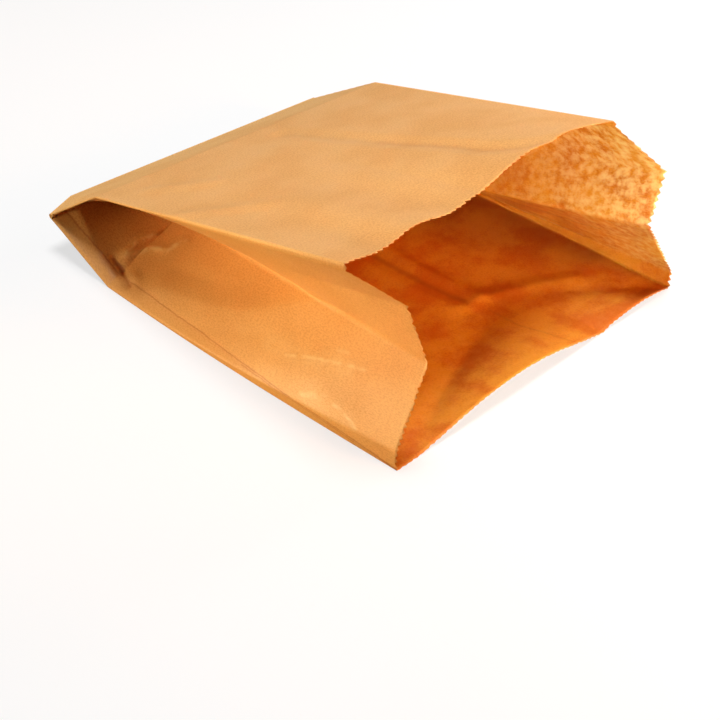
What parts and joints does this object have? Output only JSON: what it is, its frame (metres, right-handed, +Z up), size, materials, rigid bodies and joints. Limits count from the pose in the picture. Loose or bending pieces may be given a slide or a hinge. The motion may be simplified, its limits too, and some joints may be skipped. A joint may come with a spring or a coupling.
{
  "type": "paper croissant bag",
  "caption": "Brown kraft gusseted bakery bag lying open on its side, with folded-in side gussets, a folded and glued bottom hem and a serrated mouth.",
  "frame": {"origin": "middle of the bag's box, on the surface that the lower panel rests on", "axes": "+X along the bag towards its mouth, +Y across it, +Z up"},
  "size_m": [0.23, 0.1882, 0.0924],
  "materials": {
    "kraft_paper": "unbleached brown kraft, lightly glazed, creased"
  },
  "bodies": {
    "root": {"paper_bag": "kraft_paper"}
  },
  "joints": []
}
